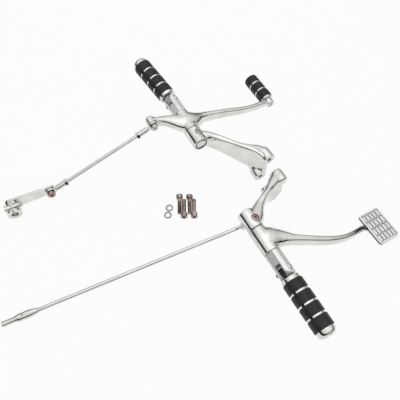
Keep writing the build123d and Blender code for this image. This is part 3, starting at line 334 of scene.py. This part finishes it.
def rubber_ring(node, finish, place, start, length, outer, core, lips, lugs=False):
    """A moulded rubber ring with rounded rims, lips over its neighbours and fine ribs, and two lugs if asked."""
    lip, before, after = lips
    inside, end = outer - RIM_RADIUS, start + length + after
    profile = [(core, start), (lip, start), (lip, start - before), (inside, start - before)]
    profile += arc_points((inside, start - before + RIM_RADIUS), RIM_RADIUS, -RIM_TURN, 0, RIM_STEPS)
    spacing = (length + before + after - 2 * RIM_RADIUS) / (GROOVES + 1)
    for number in range(1, GROOVES + 1):
        station = start - before + RIM_RADIUS + number * spacing
        profile += [
            (outer, station - GROOVE_WIDTH / 2), (outer - GROOVE_DEPTH, station - GROOVE_FLOOR / 2),
            (outer - GROOVE_DEPTH, station + GROOVE_FLOOR / 2), (outer, station + GROOVE_WIDTH / 2),
        ]
    profile += arc_points((inside, end - RIM_RADIUS), RIM_RADIUS, 0, RIM_TURN, RIM_STEPS)
    profile += [(inside, end), (lip, end), (lip, start + length), (core, start + length)]
    bm = lathe(profile, place)
    if lugs:
        for side in (1, -1):
            middle = Vector((0, side * (core + LUG_TOP) / 2, start + length + (LUG_LENGTH - LUG_ROOT) / 2))
            size = Matrix.Diagonal((LUG_WIDTH, LUG_TOP - core - LUG_CLEARANCE, LUG_LENGTH + LUG_ROOT, 1))
            lug = bmesh.ops.create_cube(bm, size=1, matrix=place @ Matrix.Translation(middle) @ size)
            round_edges(bm, edges_at(lug["verts"]), LUG_EDGE)
    piece = piece_from(bm, node + "_finished")
    crisp(piece)
    dress(piece, node, finish)


def turned_cap(node, finish, place):
    """The domed end cap of a peg, with a deep round recess for its screw."""
    profile = [(CAP_BORE, CAP_START), (CAP_RADIUS, CAP_START)]
    for step in range(DOME_STEPS + 1):
        turn = pi / 2 * step / DOME_STEPS
        profile.append((
            CAP_RIM + (CAP_RADIUS - CAP_RIM) * cos(turn), CAP_START + CAP_SIDE + (CAP_LENGTH - CAP_SIDE) * sin(turn),
        ))
    top, floor = CAP_START + CAP_LENGTH, CAP_START + CAP_LENGTH - CAP_RECESS
    wall = CAP_RIM - CAP_WALL
    profile += [(CAP_RIM - CAP_FLAT, top), (wall, top - CAP_CHAMFER), (wall, floor), (CAP_BORE, floor)]
    piece = piece_from(lathe(profile, place), node + "_finished")
    crisp(piece)
    dress(piece, node, finish)


def hub_seal(name, finish, like, place):
    """A black rubber ring that lies in the recess of a hub's end."""
    section = SEAL_THICKNESS / 2
    around = 2 * pi * (SEAL_STEPS - 1) / SEAL_STEPS
    profile = arc_points((SEAL_RADIUS, section), section, 0, around, SEAL_STEPS - 1)
    piece = piece_from(lathe(profile, place), name)
    piece.data.materials.append(finish)
    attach(piece, body_of_node[like])


def socket_screw(place):
    """A bmesh of one loose screw: its head, hexagon socket and rolled thread."""
    profile = [(0, -SCREW_LENGTH), (SCREW_RADIUS - TIP_INSET, -SCREW_LENGTH)]
    station = -SCREW_LENGTH + TIP_LENGTH
    while station < -PLAIN_SHANK:
        profile += [(SCREW_RADIUS, station), (SCREW_RADIUS - THREAD_DEPTH, station + THREAD_PITCH / 2)]
        station += THREAD_PITCH
    profile += [
        (SCREW_RADIUS, -PLAIN_SHANK + THREAD_PITCH), (SCREW_RADIUS, 0),
        (HEAD_RADIUS - HEAD_FOOT_CHAMFER, 0), (HEAD_RADIUS, HEAD_FOOT_CHAMFER),
        (HEAD_RADIUS, HEAD_HEIGHT - HEAD_TOP_CHAMFER), (HEAD_RADIUS - HEAD_TOP_CHAMFER, HEAD_HEIGHT),
        (SOCKET_RADIUS + SOCKET_CHAMFER, HEAD_HEIGHT),
    ]
    bm = lathe(profile, Matrix.Identity(4), steps=SCREW_STEPS, closed=False)
    rings = [[e for e in bm.edges if e.is_boundary]]
    for depth in (SOCKET_CHAMFER, SOCKET_DEPTH):
        ring = bmesh.ops.create_circle(
            bm, cap_ends=depth == SOCKET_DEPTH, segments=6, radius=SOCKET_RADIUS,
            matrix=Matrix.Translation((0, 0, HEAD_HEIGHT - depth)),
        )
        rings.append(edges_at(ring["verts"]))
    for upper, lower in zip(rings, rings[1:]):
        bmesh.ops.bridge_loops(bm, edges=upper + lower)
    bmesh.ops.recalc_face_normals(bm, faces=bm.faces)
    bmesh.ops.transform(bm, matrix=place, verts=bm.verts)
    return bm


def grip_pad(node, finish):
    """The plated pad: a rounded plate with thin ribs round cells whose middles stand up again."""
    low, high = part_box(node)
    middle = (low + high) / 2
    centre = Matrix.Translation((-middle.x, -middle.y, 0))
    across, along = PAD_COLUMNS * PAD_COLUMN, PAD_ROWS * PAD_ROW
    bm = bmesh.new()
    bmesh.ops.create_grid(
        bm, x_segments=PAD_COLUMNS, y_segments=PAD_ROWS, size=0.5,
        matrix=Matrix.Translation((middle.x, middle.y, high.z)) @ Matrix.Diagonal((across, along, 1, 1)),
    )
    cells = bm.faces[:]
    rim = drawn_out(bm, [e for e in bm.edges if e.is_boundary])
    bmesh.ops.scale(bm, vec=((high.x - low.x) / across, (high.y - low.y) / along, 1), space=centre, verts=rim)
    side = drawn_out(bm, [e for e in bm.edges if e.is_boundary])
    bmesh.ops.translate(bm, vec=(0, 0, low.z - high.z), verts=side)
    bmesh.ops.edgeloop_fill(bm, edges=[e for e in bm.edges if e.is_boundary])
    upright = [e for e in bm.edges if abs(e.verts[0].co.z - e.verts[1].co.z) > MM]
    corners = [
        e for e in upright
        if all(abs(v.co.x - middle.x) > across / 2 and abs(v.co.y - middle.y) > along / 2 for v in e.verts)
    ]
    round_edges(bm, corners, PAD_CORNER, steps=6)
    for thickness, depth in (
        (PAD_RIB / 2, 0), (PAD_RIB_SLOPE, -PAD_SLOT_DEPTH), (PAD_SLOT_FLOOR, 0),
        (PAD_ISLAND_SLOPE, PAD_SLOT_DEPTH - PAD_ISLAND_DROP),
    ):
        bmesh.ops.inset_individual(bm, faces=cells, thickness=thickness, depth=depth)
    bmesh.ops.recalc_face_normals(bm, faces=bm.faces)
    round_edges(bm, sharp_corners(bm), PAD_EDGE)
    piece = piece_from(bm, node + "_finished")
    crisp(piece)
    dress(piece, node, finish)


def new_finish(name):
    """A material with its shader and its object coordinates."""
    finish = bpy.data.materials.new(name)
    finish.use_nodes = True
    tree = finish.node_tree
    shader = tree.nodes["Principled BSDF"]
    place = tree.nodes.new("ShaderNodeTexCoord")
    return finish, tree, shader, place.outputs["Object"]


def bare_finish(name):
    """A material with nothing but the socket for its surface."""
    finish = bpy.data.materials.new(name)
    finish.use_nodes = True
    tree = finish.node_tree
    tree.nodes.clear()
    return finish, tree, tree.nodes.new("ShaderNodeOutputMaterial").inputs["Surface"]


def noise(tree, place, scale, detail=3.0):
    """Cloudy noise over the piece, in cells per metre."""
    cloud = tree.nodes.new("ShaderNodeTexNoise")
    cloud.inputs["Scale"].default_value = scale
    cloud.inputs["Detail"].default_value = detail
    tree.links.new(place, cloud.inputs["Vector"])
    return cloud.outputs["Fac"]


def along_axes(tree, place):
    """The three coordinates of a place, by their axes' names."""
    apart = tree.nodes.new("ShaderNodeSeparateXYZ")
    tree.links.new(place, apart.inputs[0])
    return apart.outputs


def ramp(tree, factor, stops):
    """A colour that goes from stop to stop, each a station and a tone, with a factor."""
    shade = tree.nodes.new("ShaderNodeValToRGB")
    row = shade.color_ramp.elements
    row[0].position, row[1].position = stops[0][0], stops[-1][0]
    for station, _ in stops[1:-1]:
        row.new(station)
    for stop, (_, tone) in zip(row, stops):
        stop.color = (*tone, 1)
    tree.links.new(factor, shade.inputs["Fac"])
    return shade.outputs["Color"]


def span(tree, factor, source, target, easing="LINEAR"):
    """A value that goes between two numbers while a factor goes between two others."""
    spread = tree.nodes.new("ShaderNodeMapRange")
    spread.interpolation_type = easing
    spread.inputs["From Min"].default_value, spread.inputs["From Max"].default_value = source
    spread.inputs["To Min"].default_value, spread.inputs["To Max"].default_value = target
    tree.links.new(factor, spread.inputs["Value"])
    return spread.outputs["Result"]


def reckon(tree, operation, *terms):
    """A value worked out from numbers and other nodes' values."""
    result = tree.nodes.new("ShaderNodeMath")
    result.operation = operation
    for socket, term in zip(result.inputs, terms):
        if isinstance(term, bpy.types.NodeSocket):
            tree.links.new(term, socket)
        else:
            socket.default_value = term
    return result.outputs[0]


def shader_between(tree, share, first, second):
    """The first shader where a share is nought, and the second where it is one."""
    mix = tree.nodes.new("ShaderNodeMixShader")
    tree.links.new(share, mix.inputs["Fac"])
    tree.links.new(first, mix.inputs[1])
    tree.links.new(second, mix.inputs[2])
    return mix.outputs[0]


def bump(tree, shader, height, depth, strength=1.0):
    """A surface relief of a given depth."""
    relief = tree.nodes.new("ShaderNodeBump")
    relief.inputs["Distance"].default_value = depth
    relief.inputs["Strength"].default_value = strength
    tree.links.new(height, relief.inputs["Height"])
    tree.links.new(relief.outputs["Normal"], shader.inputs["Normal"])


def plated_metal(name, tones, roughness, waviness, floor=None):
    """Plated or polished metal: slightly uneven tone and polish, and, if asked, painted shade that is full below one
    height and fades out by a second.
    """
    finish, tree, shader, place = new_finish(name)
    shader.inputs["Metallic"].default_value = 1.0
    colour = ramp(tree, noise(tree, place, TONE_CELLS), list(zip(TONE_STATIONS, tones)))
    # Painted shade: below the lower height the colour turns near black, fading back to the metal's tone at the upper
    # height
    if floor:
        mix = tree.nodes.new("ShaderNodeMix")
        mix.data_type = "RGBA"
        mix.inputs["A"].default_value = SLOT_SHADE_TONE
        tree.links.new(span(tree, along_axes(tree, place)["Z"], floor, (0.0, 1.0)), mix.inputs["Factor"])
        tree.links.new(colour, mix.inputs["B"])
        colour = mix.outputs["Result"]
    tree.links.new(colour, shader.inputs["Base Color"])
    polish = span(tree, noise(tree, place, GRAIN_CELLS, 2.0), VALUE_STATIONS, roughness)
    tree.links.new(polish, shader.inputs["Roughness"])
    bump(tree, shader, noise(tree, place, WAVE_CELLS, 1.0), waviness)
    return finish


def moulded_rubber(name):
    """Matt black rubber with a fine pebbled skin and a little dust in its tone."""
    finish, tree, shader, place = new_finish(name)
    dust = ramp(tree, noise(tree, place, DUST_CELLS, 4.0), list(zip(TONE_STATIONS, RUBBER_TONES)))
    tree.links.new(dust, shader.inputs["Base Color"])
    polish = span(tree, noise(tree, place, POLISH_CELLS), VALUE_STATIONS, RUBBER_ROUGHNESS)
    tree.links.new(polish, shader.inputs["Roughness"])
    shader.inputs["Specular IOR Level"].default_value = RUBBER_SPECULAR
    bump(tree, shader, noise(tree, place, PEBBLE_CELLS, 2.0), PEBBLE_DEPTH, PEBBLE_STRENGTH)
    return finish


def seen_in_metal_only(backdrop):
    """Let a backdrop show in reflections, and neither be seen nor change the light on the object."""
    backdrop.visible_camera = False
    backdrop.visible_diffuse = False
    backdrop.visible_shadow = False


def studio_floor():
    """The pale floor: white to the camera and in the metal, and it still takes a soft shadow."""
    bm = bmesh.new()
    bmesh.ops.create_grid(bm, x_segments=2, y_segments=2, size=FLOOR_REACH)
    floor = piece_from(bm, "studio_floor")
    finish, tree, surface = bare_finish("white_paper")
    paper = tree.nodes.new("ShaderNodeBsdfDiffuse")
    paper.inputs["Color"].default_value = PAPER_TONE
    glow = tree.nodes.new("ShaderNodeEmission")
    glow.inputs["Strength"].default_value = 1.0
    rays = tree.nodes.new("ShaderNodeLightPath").outputs
    seen = reckon(tree, "MAXIMUM", rays["Is Camera Ray"], rays["Is Glossy Ray"])
    seen = reckon(tree, "MAXIMUM", seen, rays["Is Transmission Ray"])
    share = reckon(tree, "MULTIPLY", seen, PAPER_GLOW)
    tree.links.new(shader_between(tree, share, paper.outputs[0], glow.outputs[0]), surface)
    floor.data.materials.append(finish)


def dark_skirt():
    """A dark cloth around the table, which draws the thin dark lines along the chrome's sides."""
    bm = bmesh.new()
    rim = bmesh.ops.create_circle(bm, segments=96, radius=SKIRT_RADIUS)["verts"]
    bmesh.ops.translate(bm, vec=(0, 0, SKIRT_HEIGHT), verts=drawn_out(bm, edges_at(rim)))
    skirt = piece_from(bm, "dark_skirt")
    finish, tree, shader, place = new_finish("black_cloth")
    shader.inputs["Base Color"].default_value = SKIRT_TONE
    shader.inputs["Roughness"].default_value = 1.0
    clear = tree.nodes.new("ShaderNodeBsdfTransparent")
    spot = along_axes(tree, place)
    rise = reckon(tree, "MULTIPLY_ADD", spot["X"], SKIRT_SLOPE_X, spot["Z"])
    rise = reckon(tree, "MULTIPLY_ADD", spot["Y"], SKIRT_SLOPE_Y, rise)
    share = reckon(tree, "DIVIDE", rise, SKIRT_HEIGHT)
    fade = ramp(tree, share, [(station, (clearness,) * 3) for station, clearness in SKIRT_FADE])
    cloth = shader_between(tree, fade, shader.outputs[0], clear.outputs[0])
    tree.links.new(cloth, tree.nodes["Material Output"].inputs["Surface"])
    skirt.data.materials.append(finish)
    seen_in_metal_only(skirt)


def studio_light():
    """A white tent of light, and a large soft lamp above the table that the metal doesn't show."""
    world = bpy.data.worlds.new("white_tent")
    scene.world = world
    world.use_nodes = True
    tree = world.node_tree
    sky = tree.nodes["Background"]
    sky.inputs["Color"].default_value = TENT_TONE
    rays = tree.nodes.new("ShaderNodeLightPath").outputs
    strength = span(tree, rays["Is Diffuse Ray"], (0.0, 1.0), (TENT_GLOW, TENT_LIGHT))
    tree.links.new(strength, sky.inputs["Strength"])
    lamp = bpy.data.lights.new("soft_lamp", "AREA")
    lamp.shape = "RECTANGLE"
    lamp.size, lamp.size_y = LAMP_WIDTH, LAMP_DEPTH
    lamp.energy = LAMP_POWER
    holder = bpy.data.objects.new("soft_lamp", lamp)
    holder.location = LAMP_PLACE
    holder.rotation_euler = (Vector((0, 0, 0)) - holder.location).to_track_quat("-Z", "Y").to_euler()
    holder.visible_glossy = False
    scene.collection.objects.link(holder)


def softbox():
    """A round soft light that only the metal shows, brightest in its middle, so its rim never draws an edge."""
    bm = bmesh.new()
    bmesh.ops.create_circle(bm, cap_ends=True, segments=64, radius=SOFTBOX_RADIUS)
    bmesh.ops.translate(bm, vec=SOFTBOX_PLACE, verts=bm.verts)
    box = piece_from(bm, "softbox")
    finish, tree, surface = bare_finish("softbox_cloth")
    place = tree.nodes.new("ShaderNodeTexCoord")
    apart = tree.nodes.new("ShaderNodeVectorMath")
    apart.operation = "DISTANCE"
    apart.inputs[1].default_value = SOFTBOX_PLACE
    tree.links.new(place.outputs["Object"], apart.inputs[0])
    strength = span(
        tree, apart.outputs["Value"], (SOFTBOX_CORE, SOFTBOX_RADIUS), (SOFTBOX_LIGHT, SOFTBOX_RIM_LIGHT), "SMOOTHSTEP",
    )
    glow = tree.nodes.new("ShaderNodeEmission")
    tree.links.new(strength, glow.inputs["Strength"])
    tree.links.new(glow.outputs[0], surface)
    box.data.materials.append(finish)
    seen_in_metal_only(box)


def camera():
    """The camera at the photograph's place and angle."""
    lens = bpy.data.cameras.new("camera")
    lens.lens = CAMERA_LENS
    lens.sensor_width = lens.sensor_height = CAMERA_SENSOR
    lens.sensor_fit = "HORIZONTAL"
    lens.clip_start = CAMERA_NEAR
    holder = bpy.data.objects.new("camera", lens)
    holder.location = CAMERA_PLACE
    holder.rotation_euler = CAMERA_TURN
    scene.collection.objects.link(holder)
    scene.camera = holder


camera()
scene.view_settings.view_transform = "Standard"
studio_light()
softbox()
studio_floor()
dark_skirt()

chrome = plated_metal("polished_chrome", ((0.62, 0.616, 0.595), (0.74, 0.735, 0.712)), (0.05, 0.12), 0.25 * MM)
bright_rod = plated_metal("bright_plated_rod", ((0.5, 0.5, 0.487), (0.64, 0.64, 0.626)), (0.08, 0.16), 0.1 * MM)
nickel = plated_metal("oiled_screw_steel", ((0.2, 0.15, 0.13), (0.44, 0.37, 0.33)), (0.2, 0.34), 0.06 * MM)
satin = plated_metal("satin_plated_steel", ((0.78, 0.78, 0.765), (0.88, 0.88, 0.865)), (0.5, 0.62), 0.1 * MM)
zinc = plated_metal("dull_zinc", ((0.3, 0.3, 0.28), (0.42, 0.42, 0.4)), (0.45, 0.6), 0.06 * MM)
copper = plated_metal("copper_tinted_steel", ((0.38, 0.265, 0.23), (0.62, 0.48, 0.43)), (0.16, 0.28), 0.06 * MM)
# Pieces that sit in dark recesses are coloured near black, as painted shade of their recesses
recess_shade_black = plated_metal("painted_recess_shade", ((0.03, 0.028, 0.027), (0.09, 0.08, 0.075)), (0.3, 0.5), 0.06 * MM)
bronze = plated_metal("bearing_bronze", ((0.42, 0.27, 0.13), (0.6, 0.42, 0.23)), (0.3, 0.45), 0.06 * MM)
pad_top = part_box("brake_pad")[1].z
# The pad's chrome is painted near black deep in its slots, as painted shade
pad_chrome = plated_metal(
    "plated_pad", ((0.66, 0.66, 0.65), (0.78, 0.78, 0.77)), (0.08, 0.16), 0.1 * MM,
    floor=(pad_top - PAD_FULL_SHADE_DEPTH, pad_top - PAD_SHADE_END_DEPTH),
)
rubber = moulded_rubber("moulded_black_rubber")
FINISHES = {
    "chrome": chrome, "zinc_rod": bright_rod, "steel_screw": nickel, "copper_screw": copper,
    "dark_recess": recess_shade_black, "bronze": bronze,
}

shift_pivot = Vector((joint_place["shift_pivot"].x, 0, joint_place["shift_pivot"].z))
brake_pivot = Vector((joint_place["brake_pivot"].x, 0, joint_place["brake_pivot"].z))
shift_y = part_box("shift_peg_support")[0].y - SHAFT_START
brake_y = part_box("brake_peg_support")[1].y + SHAFT_START


def on_shift(x, y, z):
    """A point in millimetres from the inner end of the shift side's hub, on its axis."""
    return shift_pivot + Vector((x * MM, shift_y + y * MM, z * MM))


def on_brake(x, y, z):
    """A point in millimetres from the inner end of the brake side's hub, on its axis."""
    return brake_pivot + Vector((x * MM, brake_y + y * MM, z * MM))


# Each shell of a casting is its sections' squareness and then its sections: a point, a width and a height
casting(
    "shift_bracket", chrome, on_shift(0, 0, 0),
    shells=[
        # the arm from the hub to the upper boss
        (0.85, (on_shift(2, 20, 0), 24, 26), (on_shift(14, 12, 0), 17, 24), (on_shift(30, -4, -0.5), 12, 21),
         (on_shift(50, -26, -0.5), 11, 20), (on_shift(66, -43, -3.5), 14, 22), (on_shift(79, -55, -5.5), 20, 24),
         (on_shift(88, -62, -6.7), 25, 24.8), (on_shift(96, -72, -7), 25, 24.8)),
        # the branch to the lower boss
        (0.85, (on_shift(62, -39, -20), 9, 14), (on_shift(72, -51, -31), 11, 17), (on_shift(79, -60, -42), 16, 20),
         (on_shift(83, -67, -50), 21, 23), (on_shift(83.5, -74, -53.5), 24.4, 24.6)),
        # the web under the arm
        (0.5, (on_shift(10, 14, -8), 8, 26), (on_shift(30, -5, -11), 9, 32), (on_shift(50, -26, -16), 10, 44),
         (on_shift(66, -44, -21), 10, 54), (on_shift(80, -62, -26), 10, 62)),
        # the web between the bosses
        (0.75, (on_shift(89, -72, -30), 10, 50), (on_shift(90, -89.3, -30), 10, 48)),
    ],
    roots=[(on_shift(14, 8, 0), 16 * MM), (on_shift(92, -66, -7), 15 * MM), (on_shift(80, -62, -46), 19 * MM)],
    worn=[(on_shift(105, -64, -7), 17 * MM), (on_shift(30, -8, -9), 14 * MM), (on_shift(78, -62, -44), 17 * MM)],
    well=on_shift(0, SCREW_STATION, 0) + SCREW_WAY * SCREW_SEAT * MM,
)
casting(
    "brake_bracket", chrome, on_brake(0, 0, 0),
    shells=[
        # the arm from the hub to the upper boss
        (0.9, (on_brake(0, -18.5, 0), 33, 31), (on_brake(8, -18, 0), 33, 29), (on_brake(16, -12, -0.5), 29, 26),
         (on_brake(24, -4, -1), 23, 24), (on_brake(32, 2.5, -1.5), 18, 22), (on_brake(42, 9, -2.5), 15, 21.5),
         (on_brake(56, 17, -4), 15, 22), (on_brake(72, 26, -5), 18, 23), (on_brake(86, 34, -6.5), 23, 24.6),
         (on_brake(95, 40, -7), 24.6, 24.8)),
        # the web under the arm
        (0.5, (on_brake(12, -12, -3), 8, 18), (on_brake(30, 2, -4), 9, 20), (on_brake(53, 15, -16), 10, 42),
         (on_brake(66, 22.5, -20), 10, 52), (on_brake(76, 29, -25), 10, 58)),
        # the web between the bosses
        (0.75, (on_brake(88, 23.5, -30), 19, 44), (on_brake(92, 36, -30), 16, 50), (on_brake(95, 49.5, -30), 12, 46)),
    ],
    roots=[(on_brake(20, -10, 2), 20 * MM), (on_brake(94, 32, -7), 14 * MM), (on_brake(84, 26, -50), 14 * MM)],
    worn=[(on_brake(104, 26, -7), 18 * MM), (on_brake(97, 47, -7), 22 * MM), (on_brake(90, 24, -52), 15 * MM)],
    well=on_brake(0, -SCREW_STATION, 0) + SCREW_WAY * SCREW_SEAT * MM,
)
casting(
    "shift_lever", chrome, on_shift(0, 0, 0),
    shells=[
        # the root of the toe arm
        (0.9, (on_shift(-2, 61.3, 0), 44, 32), (on_shift(8, 61.5, 0), 43, 32), (on_shift(17, 62, -2), 38, 30),
         (on_shift(26, 63, -5), 30, 27), (on_shift(36, 64.5, -8.5), 20, 24), (on_shift(48, 65, -12), 14, 22)),
        # the root of the linkage arm
        (0.9, (on_shift(2, 62, 0), 44, 32), (on_shift(-7, 63.5, 0.5), 41, 31), (on_shift(-16, 67, 2.5), 34, 28),
         (on_shift(-26, 72.5, 5), 25, 25), (on_shift(-36, 77.5, 7.5), 18, 22), (on_shift(-46, 80.7, 9.8), 14, 20.5)),
    ],
    roots=[(on_shift(18, 61, 3), 26 * MM), (on_shift(-15, 64, 5), 25 * MM)],
    worn=[(on_shift(20, 82, 4), 13 * MM)],
)
casting(
    "brake_pedal", chrome, on_brake(0, 0, 0),
    shells=[
        # the root of the pedal's arm
        (0.9, (on_brake(-2, -61.3, 0), 45, 32), (on_brake(8, -61.5, 0), 45, 32), (on_brake(18, -63, -2), 41, 30.5),
         (on_brake(28, -67, -5), 33, 28), (on_brake(40, -73, -8.5), 23, 26.5), (on_brake(54, -81, -13), 15, 25.5)),
    ],
    roots=[(on_brake(21, -61, 3), 29 * MM), (on_brake(5, -57, -18), 14 * MM)],
    worn=[(on_brake(25, -43, 4), 14 * MM)],
)

pin_axis = (cos(FOLD_PIN_TILT), 0, sin(FOLD_PIN_TILT))
left_peg = place_along(joint_place["left_footpeg_fold"], pin_axis, (0, 1, 0)) @ Matrix.Rotation(LEFT_PEG_FOLD, 4, "X")
right_peg = place_along(joint_place["right_footpeg_fold"], pin_axis, (0, -1, 0))
for side, place in (("left", left_peg), ("right", right_peg)):
    turned_cap(f"{side}_peg_cap", chrome, place)
    for number in range(PEG_RINGS):
        inner = number < PEG_RINGS - 1
        rubber_ring(
            f"{side}_peg_ring_{number + 1}", rubber, place, PEG_RUBBER_START + number * PEG_PITCH,
            PEG_RING_LENGTH, PEG_RING_RADIUS, PEG_CORE_RADIUS,
            (PEG_LIP, LIP_REACH, LIP_REACH if inner else CAP_LIP_REACH), lugs=inner,
        )
toe_peg = place_along(on_shift(*TOE_PEG_PLACE), (1, 0, 0), (0, 1, 0))
for number in range(TOE_RINGS):
    rubber_ring(
        f"toe_peg_ring_{number + 1}", rubber, toe_peg, TOE_RUBBER_START + number * TOE_PITCH,
        TOE_RING_LENGTH, TOE_RING_RADIUS, TOE_CORE_RADIUS, (TOE_LIP, LIP_REACH / 2, LIP_REACH / 2),
    )
hub_seal("shift_hub_seal", rubber, "shift_bracket", place_along(on_shift(0, 0, 0), (1, 0, 0), (0, 1, 0)))
hub_seal("brake_hub_seal", rubber, "brake_bracket", place_along(on_brake(0, 0, 0), (1, 0, 0), (0, -1, 0)))

# A loose screw lies on its head's rim and on the thread near its tip, so it droops a little
droop = atan((HEAD_RADIUS - SCREW_RADIUS) / (SCREW_LENGTH - TIP_REST))
forward = Vector((cos(ROW_HEADING), sin(ROW_HEADING), 0))
sideways = Vector((sin(ROW_HEADING), -cos(ROW_HEADING), 0))
screws = bmesh.new()
for along, across, heading in LOOSE_SCREWS:
    seat = Vector((*ROW_ORIGIN, HEAD_RADIUS * cos(droop))) + along * MM * forward + across * MM * sideways
    to_head = heading * forward * cos(droop) + Vector((0, 0, sin(droop)))
    screw = socket_screw(place_along(seat, -heading * sideways, to_head))
    mesh = bpy.data.meshes.new("one_screw")
    screw.to_mesh(mesh)
    screw.free()
    screws.from_mesh(mesh)
    bpy.data.meshes.remove(mesh)
loose_screws = piece_from(screws, "mounting_screws_finished")
crisp(loose_screws)
dress(loose_screws, "mounting_screws", nickel)
grip_pad("brake_pad", pad_chrome)

OWN_FINISH = {
    "toe_peg_bolt": chrome, "front_joint_bolt": bright_rod, "pinch_bolt": bright_rod, "mounting_washers": zinc,
    "shift_set_screw": bright_rod, "shift_peg_support": satin, "brake_peg_support": satin,
}
MODELLED = (
    "shift_bracket", "brake_bracket", "shift_lever", "brake_pedal", "left_peg_cap", "right_peg_cap",
    "mounting_screws", "brake_pad",
)
for node, slot in slot_of_node.items():
    if slot != "rubber" and node not in MODELLED:
        softened(node, OWN_FINISH.get(node, FINISHES[slot]))
